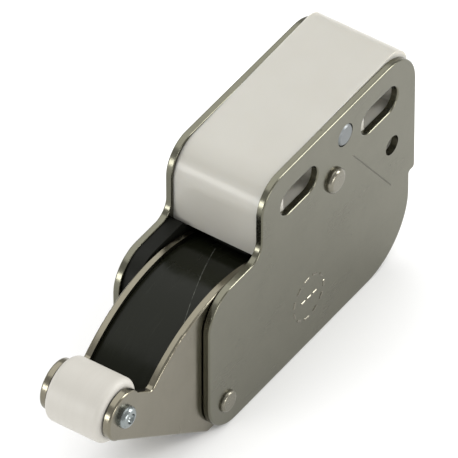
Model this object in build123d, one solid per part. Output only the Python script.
from build123d import *
import math
import os

# Roller catch for a locker door: two nickel-plated cheek plates clasp a white plastic core,
# and a spring-loaded lever with a plastic roller at its tip swings out between them.
# Lengths are in millimetres.  X runs rearward, Y towards the wall, Z up.
# Every shape is drawn about the lever's pivot, with Y = 0 midway between the cheeks, and
# moved at the end so that the origin is midway between the screw slots, on the wall face.

# Driving dimensions: housing
CHEEK_THICKNESS = 1.0
CORE_WIDTH = 13.2
CHEEK_FRONT = -4.1
CHEEK_BOTTOM = -4.45
CHEEK_TOP = 30.3
CHEEK_REAR = 43.6
HUMP_TOP = 19.5
NOSE_FRONT = 7.95
HEEL_HEIGHT = 8.2
HEEL_DEPTH = 1.3
OUTER_ROLLOVER = 0.25
INNER_ROLLOVER = 0.12

SLOT_LENGTH = 8.5
SLOT_WIDTH = 4.2
SLOT_SPACING = 18.6
SLOT_MIDDLE_X = 25.8
SLOT_MIDDLE_Z = 24.5

LIP_X = 8.35
LIP_Z = 18.55
LIP_ANGLE = 59
CAVITY_RADIUS = 22.6
FOOT_FRONT = 17.0
FOOT_TOP = -2.4
CORE_BOTTOM = -4.0
CORE_REAR = 42.9

# Driving dimensions: fittings
CORE_RIVET = (24.6, 20.3)
LOCATING_PEG = (27.1, 26.3)
LOCATING_HOLE = (38.1, 16.1)
LOCATING_HOLE_RADIUS = 1.45
SUNK_DEPTH = 0.7
CORE_RIVET_RADIUS = 1.4
PEG_RADIUS = 1.65
PIVOT_RADIUS = 1.2
SLEEVE_RADIUS = 2.2
FIXED_GAP = 0.04
RUNNING_GAP = 0.06

# Driving dimensions: lever
LEVER_ANGLE = 35.8
LEVER_SIDE_GAP = 0.1
LEVER_INNER_WIDTH = 9.0
FLANGE_THICKNESS = 1.0
FLANGE_CORNER = 0.8
FLANGE_ROLLOVER = 0.35
FLANGE_ARC_RADIUS = 23.2
FLANGE_ARC_DROP = 4.15
LOWER_EDGE = -4.95
SHELF = 1.8
HUB_RADIUS = 4.1
TAIL_ANGLE = 52
INSERT_RECESS = 0.75
HOOK_RADIUS = 22.2
HOOK_ANGLES = (51, 56.6)
STOP_WIDTH = 5.5
INSERT_RIVET_RADIUS = 1.0
WEB_THICKNESS = 1.0

AXLE_REACH = 25.5
AXLE_ABOVE = -1.4
AXLE_RADIUS = 1.25
EYE_RADIUS = 3.6
BUSH_RADIUS = 2.0
WASHER_RADIUS = 2.9
WASHER_THICKNESS = 0.2
ROLLER_RADIUS = 4.6
ROLLER_LENGTH = 8.5

SPRING_RADIUS = 3.2
WIRE_RADIUS = 0.5
SPRING_PITCH = 1.15
SPRING_TURNS = 5
SPRING_START = -4.1

# Places along Y worked out from the driving dimensions
NEAR_INNER = -CORE_WIDTH / 2
FAR_INNER = CORE_WIDTH / 2
NEAR_OUTER = NEAR_INNER - CHEEK_THICKNESS
FAR_OUTER = FAR_INNER + CHEEK_THICKNESS
NEAR_FLANGE = NEAR_INNER + LEVER_SIDE_GAP
NEAR_FLANGE_INNER = NEAR_FLANGE + FLANGE_THICKNESS
FAR_FLANGE_INNER = NEAR_FLANGE_INNER + LEVER_INNER_WIDTH
FAR_FLANGE = FAR_FLANGE_INNER + FLANGE_THICKNESS
LEVER_MIDDLE = (NEAR_FLANGE_INNER + FAR_FLANGE_INNER) / 2

SLOT_PLACES = [
    (SLOT_MIDDLE_X - SLOT_SPACING / 2, SLOT_MIDDLE_Z),
    (SLOT_MIDDLE_X + SLOT_SPACING / 2, SLOT_MIDDLE_Z),
]
PIVOT = (0, 0)
TO_ORIGIN = Pos(-SLOT_MIDDLE_X, -FAR_OUTER, -SLOT_MIDDLE_Z)
FAR_AWAY = 60


def polar(radius, degrees):
    """The (x, z) place at a radius from the pivot and an angle above the rearward direction."""
    angle = math.radians(degrees)
    return radius * math.cos(angle), radius * math.sin(angle)


def on_arm(along, above):
    """The (x, z) place at a distance along the lever's arm and above its centre line."""
    angle = math.radians(LEVER_ANGLE)
    x = -along * math.cos(angle) + above * math.sin(angle)
    z = along * math.sin(angle) + above * math.cos(angle)
    return x, z


AXLE = on_arm(AXLE_REACH, AXLE_ABOVE)
REAR_INSERT_RIVET = polar(14.5, 62)
FRONT_INSERT_RIVET = polar(14.5, 84)


def slab(outline, y_from, y_to):
    """An outline drawn in X and Z, as a slab between two places along Y."""
    return extrude(Plane.XZ.offset(-y_to) * outline, y_to - y_from)


def round_at(place, radius):
    return Pos(*place) * Circle(radius)


def bar(place, radius, y_from, y_to):
    """A round bar along Y through an (x, z) place."""
    return slab(round_at(place, radius), y_from, y_to)


def polygon(*places):
    return make_face(Polyline(*places, close=True))


def rounded(*corners):
    """A closed outline from corners given as (x, z, rounding radius)."""
    points = [(x, z) for x, z, radius in corners]
    radii = [radius for x, z, radius in corners]
    return make_face(FilletPolyline(*points, radius=radii, close=True))


def rivet_head(place, radius, height, y_base, outward, crown=0.8):
    """A low head that stands on a plane across Y and points along outward, +1 or -1.

    crown is the share of the height that its rounded rim takes.
    """
    y_tip = y_base + outward * height
    head = bar(place, radius, min(y_base, y_tip), max(y_base, y_tip))
    rim = head.edges().filter_by(GeomType.CIRCLE).sort_by(Axis.Y)
    return fillet(rim[-1 if outward > 0 else 0], height * crown)


def sunk_cone(place, radius, depth):
    """The flush conical head of a rivet, on the wall face of the far cheek."""
    cone = Cone(radius, radius + depth, depth, align=(Align.CENTER, Align.CENTER, Align.MIN))
    x, z = place
    return Pos(x, FAR_OUTER - depth, z) * Rot(-90, 0, 0) * cone


# Housing


def cheek_outline():
    heel_x = CHEEK_REAR - HEEL_DEPTH
    return rounded(
        (CHEEK_FRONT, CHEEK_BOTTOM, 6.0),
        (CHEEK_FRONT, HUMP_TOP, 5.2),
        (NOSE_FRONT, HUMP_TOP, 2.4),
        (NOSE_FRONT, CHEEK_TOP, 4.6),
        (CHEEK_REAR, CHEEK_TOP, 6.2),
        (CHEEK_REAR, HEEL_HEIGHT, 0.6),
        (heel_x, HEEL_HEIGHT, 0.3),
        (heel_x, CHEEK_BOTTOM, 9.5),
    )


def cheek_plate(y_from, y_to, rollovers):
    """A stamped cheek.  rollovers gives the edge rounding of its -Y and +Y faces."""
    plate = slab(cheek_outline(), y_from, y_to)
    for face, radius in zip(plate.faces().filter_by(Axis.Y).sort_by(Axis.Y), rollovers):
        plate = fillet(plate.edges().filter_by_position(Axis.Y, face.center().Y, face.center().Y), radius)
    slots = [Pos(*place) * SlotOverall(SLOT_LENGTH, SLOT_WIDTH) for place in SLOT_PLACES]
    plate -= [slab(slot, y_from, y_to) for slot in slots]
    plate -= bar(PIVOT, PIVOT_RADIUS + FIXED_GAP, y_from, y_to)
    plate -= bar(CORE_RIVET, CORE_RIVET_RADIUS + FIXED_GAP, y_from, y_to)
    plate -= bar(LOCATING_PEG, PEG_RADIUS + FIXED_GAP, y_from, y_to)
    plate -= bar(LOCATING_HOLE, LOCATING_HOLE_RADIUS, y_from, y_to)
    return plate


def near_cheek():
    plate = cheek_plate(NEAR_OUTER, NEAR_INNER, (OUTER_ROLLOVER, INNER_ROLLOVER))
    outer_edges = plate.edges().filter_by_position(Axis.Y, NEAR_OUTER, NEAR_OUTER)
    slot_edges = [edge for edge in outer_edges if abs(edge.center().Z - SLOT_MIDDLE_Z) < SLOT_WIDTH
                  and min(abs(edge.center().X - x) for x, z in SLOT_PLACES) < SLOT_LENGTH / 2 + 0.1]
    return fillet(slot_edges, OUTER_ROLLOVER)


def far_cheek():
    plate = cheek_plate(FAR_INNER, FAR_OUTER, (INNER_ROLLOVER, OUTER_ROLLOVER))
    plate -= sunk_cone(PIVOT, PIVOT_RADIUS + FIXED_GAP, SUNK_DEPTH)
    plate -= sunk_cone(CORE_RIVET, CORE_RIVET_RADIUS + FIXED_GAP, SUNK_DEPTH)
    return plate


def core_outline():
    heel_x = CORE_REAR - HEEL_DEPTH
    return rounded(
        (LIP_X, LIP_Z, 0),
        (LIP_X, 29.9, 4.8),
        (CORE_REAR, 30.8, 3.8),
        (CORE_REAR, HEEL_HEIGHT, 0.5),
        (heel_x, HEEL_HEIGHT, 0.3),
        (heel_x, CORE_BOTTOM, 9.5),
        (FOOT_FRONT, CORE_BOTTOM, 0),
        (FOOT_FRONT, FOOT_TOP, 0),
    )


def cavity_outline():
    """The room in the core that the lever's sector swings into."""
    lip_radius = math.hypot(LIP_X, LIP_Z)
    sweep = polygon(
        (0, FOOT_TOP),
        (FAR_AWAY, FOOT_TOP),
        (FAR_AWAY, FAR_AWAY),
        (-FAR_AWAY, FAR_AWAY),
        (-FAR_AWAY, FOOT_TOP),
    )
    behind_lip = polygon((0, FOOT_TOP), (FAR_AWAY, FOOT_TOP), polar(2 * FAR_AWAY, LIP_ANGLE), PIVOT)
    return (Circle(lip_radius) & sweep) + (Circle(CAVITY_RADIUS) & behind_lip)


def housing_core():
    core = slab(core_outline() - cavity_outline(), NEAR_INNER, FAR_INNER)
    screw_room = RectangleRounded(6.6, 4.4, 0.5)
    core -= [slab(Pos(x + 1.0, z) * screw_room, NEAR_INNER, FAR_INNER) for x, z in SLOT_PLACES]
    core -= bar(CORE_RIVET, CORE_RIVET_RADIUS + FIXED_GAP, NEAR_INNER, FAR_INNER)
    core -= bar(LOCATING_PEG, PEG_RADIUS + FIXED_GAP, NEAR_INNER, FAR_INNER)
    core -= bar(LOCATING_HOLE, LOCATING_HOLE_RADIUS, NEAR_INNER, FAR_INNER)
    leg_groove = polygon((15, -4.1), (25.5, -4.1), (25.5, -2.3), (15, -2.3))
    return core - slab(leg_groove, 2.0, 4.0)


def pivot_rivet():
    shank = bar(PIVOT, PIVOT_RADIUS, NEAR_OUTER, FAR_OUTER)
    head = rivet_head(PIVOT, 1.6, 0.5, NEAR_OUTER, -1)
    return shank + head + sunk_cone(PIVOT, PIVOT_RADIUS, SUNK_DEPTH)


def core_rivet():
    shank = bar(CORE_RIVET, CORE_RIVET_RADIUS, NEAR_OUTER, FAR_OUTER)
    head = rivet_head(CORE_RIVET, 1.85, 0.75, NEAR_OUTER, -1)
    return shank + head + sunk_cone(CORE_RIVET, CORE_RIVET_RADIUS, SUNK_DEPTH)


def pivot_sleeve():
    tube = Circle(SLEEVE_RADIUS) - Circle(PIVOT_RADIUS + FIXED_GAP)
    return slab(tube, NEAR_INNER, FAR_INNER)


def locating_peg():
    peg = bar(LOCATING_PEG, PEG_RADIUS, NEAR_OUTER - 0.12, FAR_OUTER)
    return chamfer(peg.edges().filter_by(GeomType.CIRCLE).sort_by(Axis.Y)[0], 0.3)


def wear_liner():
    """The black sheet that fills the gap between the lever and the far cheek."""
    front = rounded((-3.4, -3.4, 5.3), (-3.4, 19.3, 4.5), (7.9, 19.3, 0.6), (7.9, -3.4, 0))
    rear = polygon((7.0, -3.4), (11.5, -3.4), (11.5, 17.0), (8.6, 18.0), (7.0, 18.0))
    liner = slab(front + rear, FAR_FLANGE + LEVER_SIDE_GAP, FAR_INNER)
    return liner - bar(PIVOT, SLEEVE_RADIUS + FIXED_GAP, FAR_FLANGE, FAR_INNER)


def extended_stop_pad():
    """The rubber pad behind the lip that the insert's hook rests against."""
    inner, outer = 20.6, 22.4
    pad = polygon(
        polar(inner, LIP_ANGLE),
        polar(outer, LIP_ANGLE),
        polar(outer, LIP_ANGLE - 2),
        polar(inner, LIP_ANGLE - 2),
    )
    return slab(pad, LEVER_MIDDLE - STOP_WIDTH / 2, LEVER_MIDDLE + STOP_WIDTH / 2)


def retracted_stop_pad():
    """The rubber block on the core's foot that the hook meets at full travel."""
    block = rounded((18.4, FOOT_TOP, 0), (22.0, FOOT_TOP, 0), (22.0, 0.1, 0.4), (18.4, 0.1, 0.4))
    return slab(block, LEVER_MIDDLE - STOP_WIDTH / 2, LEVER_MIDDLE + STOP_WIDTH / 2)


# Lever


def lever_arc(inset):
    """The large round along the top of the lever, drawn in by an inset."""
    return Pos(0, -FLANGE_ARC_DROP) * Circle(FLANGE_ARC_RADIUS - inset)


def flange_outline():
    hub_side = polar(HUB_RADIUS, TAIL_ANGLE - 90)
    sector = lever_arc(0) & polygon(
        PIVOT, on_arm(FAR_AWAY, SHELF), (-FAR_AWAY, 2 * FAR_AWAY), polar(FAR_AWAY, TAIL_ANGLE), hub_side
    )
    arm = polygon(
        on_arm(0, LOWER_EDGE), on_arm(AXLE_REACH, LOWER_EDGE), on_arm(AXLE_REACH, SHELF), on_arm(0, SHELF)
    )
    heel = polygon(on_arm(0, LOWER_EDGE), (0, -HUB_RADIUS), PIVOT)
    body = sector + arm + heel + Circle(HUB_RADIUS) + round_at(AXLE, EYE_RADIUS)
    for place in (on_arm(20, SHELF), on_arm(0, LOWER_EDGE), polar(20, TAIL_ANGLE)):
        corner = body.vertices().sort_by_distance((*place, 0))[0]
        body = fillet(corner, FLANGE_CORNER)
    return body


def flange(y_from, y_to, outer_y):
    plate = slab(flange_outline(), y_from, y_to)
    rim = plate.edges().filter_by_position(Axis.Y, outer_y, outer_y)
    plate = fillet(rim, FLANGE_ROLLOVER)
    plate -= bar(PIVOT, SLEEVE_RADIUS + RUNNING_GAP, y_from, y_to)
    plate -= bar(AXLE, AXLE_RADIUS + FIXED_GAP, y_from, y_to)
    plate -= bar(FRONT_INSERT_RIVET, INSERT_RIVET_RADIUS + FIXED_GAP, y_from, y_to)
    plate -= bar(REAR_INSERT_RIVET, INSERT_RIVET_RADIUS + FIXED_GAP, y_from, y_to)
    return plate


def lever_channel():
    """The bent steel channel: two flanges joined by a web along the arm's lower edge."""
    near = flange(NEAR_FLANGE, NEAR_FLANGE_INNER, NEAR_FLANGE)
    far = flange(FAR_FLANGE_INNER, FAR_FLANGE, FAR_FLANGE)
    web_top = LOWER_EDGE + WEB_THICKNESS
    web = polygon(
        on_arm(4.0, LOWER_EDGE), on_arm(20.4, LOWER_EDGE), on_arm(20.4, web_top), on_arm(4.0, web_top)
    )
    return near + slab(web, NEAR_FLANGE_INNER, FAR_FLANGE_INNER) + far


def lever_insert():
    """The black moulding that fills the channel under its round, with the stop hook."""
    fill = lever_arc(INSERT_RECESS) & polygon(
        on_arm(6, -2.2), on_arm(23, -2.2), (-FAR_AWAY, 2 * FAR_AWAY), polar(FAR_AWAY, HOOK_ANGLES[0]), PIVOT
    )
    fill -= Circle(9.0)
    fill -= round_at(AXLE, ROLLER_RADIUS + 0.6)
    body = slab(fill, NEAR_FLANGE_INNER + FIXED_GAP, FAR_FLANGE_INNER - FIXED_GAP)
    low, high = HOOK_ANGLES
    hook = polygon(polar(15, low), polar(HOOK_RADIUS, low), polar(HOOK_RADIUS, high), polar(15, high))
    body += slab(hook, LEVER_MIDDLE - STOP_WIDTH / 2, LEVER_MIDDLE + STOP_WIDTH / 2)
    body -= bar(FRONT_INSERT_RIVET, INSERT_RIVET_RADIUS + FIXED_GAP, NEAR_FLANGE, FAR_FLANGE)
    body -= bar(REAR_INSERT_RIVET, INSERT_RIVET_RADIUS + FIXED_GAP, NEAR_FLANGE, FAR_FLANGE)
    return body


def insert_rivet(place):
    return bar(place, INSERT_RIVET_RADIUS, NEAR_FLANGE, FAR_FLANGE)


def front_insert_rivet():
    return insert_rivet(FRONT_INSERT_RIVET)


def rear_insert_rivet():
    return insert_rivet(REAR_INSERT_RIVET)


def roller_axle():
    axle = bar(AXLE, AXLE_RADIUS, NEAR_FLANGE, FAR_FLANGE)
    axle += rivet_head(AXLE, 1.6, 1.0, NEAR_FLANGE, -1, crown=0.75)
    axle += rivet_head(AXLE, 1.55, 1.0, FAR_FLANGE, 1)
    x, z = AXLE
    dimple = Pos(x, NEAR_FLANGE - 1.1, z) * Sphere(0.75)
    return axle - dimple


def roller_bush():
    bush = round_at(AXLE, BUSH_RADIUS) - round_at(AXLE, AXLE_RADIUS + FIXED_GAP)
    return slab(bush, NEAR_FLANGE_INNER, FAR_FLANGE_INNER)


def washer(y_from):
    ring = round_at(AXLE, WASHER_RADIUS) - round_at(AXLE, BUSH_RADIUS + FIXED_GAP)
    return slab(ring, y_from, y_from + WASHER_THICKNESS)


def near_roller_washer():
    return washer(NEAR_FLANGE_INNER)


def far_roller_washer():
    return washer(FAR_FLANGE_INNER - WASHER_THICKNESS)


def roller():
    y_near = LEVER_MIDDLE - ROLLER_LENGTH / 2
    y_far = LEVER_MIDDLE + ROLLER_LENGTH / 2
    tyre = bar(AXLE, ROLLER_RADIUS, y_near, y_far)
    tyre = fillet(tyre.edges().filter_by(GeomType.CIRCLE), 0.9)
    return tyre - bar(AXLE, BUSH_RADIUS + RUNNING_GAP, y_near, y_far)


def torsion_spring():
    """A coil round the pivot sleeve: one leg lies on the lever's web, one under the core."""
    first_angle = 270 - LEVER_ANGLE
    last_angle = 270 + 360 * SPRING_TURNS
    height = SPRING_PITCH * (last_angle - first_angle) / 360
    x, z = polar(1, first_angle)
    base = Plane(origin=(0, SPRING_START, 0), x_dir=(x, 0, z), z_dir=(0, 1, 0))
    coil = base * Helix(SPRING_PITCH, height, SPRING_RADIUS, lefthand=True)
    front_leg = Line(coil @ 0 - (coil % 0) * 14, coil @ 0)
    rear_leg = Line(coil @ 1, coil @ 1 + (coil % 1) * 24)
    path = Wire([front_leg, coil, rear_leg])
    section = Plane(origin=path @ 0, z_dir=path % 0) * Circle(WIRE_RADIUS)
    return sweep(section, path=path, is_frenet=True)


NODES = {
    "near_cheek_plate": near_cheek,
    "far_cheek_plate": far_cheek,
    "housing_core": housing_core,
    "pivot_rivet": pivot_rivet,
    "pivot_sleeve": pivot_sleeve,
    "core_rivet": core_rivet,
    "locating_peg": locating_peg,
    "wear_liner": wear_liner,
    "extended_stop_pad": extended_stop_pad,
    "retracted_stop_pad": retracted_stop_pad,
    "lever_channel": lever_channel,
    "lever_insert": lever_insert,
    "front_insert_rivet": front_insert_rivet,
    "rear_insert_rivet": rear_insert_rivet,
    "roller_axle": roller_axle,
    "roller_bush": roller_bush,
    "near_roller_washer": near_roller_washer,
    "far_roller_washer": far_roller_washer,
    "roller": roller,
    "torsion_spring": torsion_spring,
}

os.makedirs("parts", exist_ok=True)
for name, make in NODES.items():
    export_step(TO_ORIGIN * make(), f"parts/{name}.step")
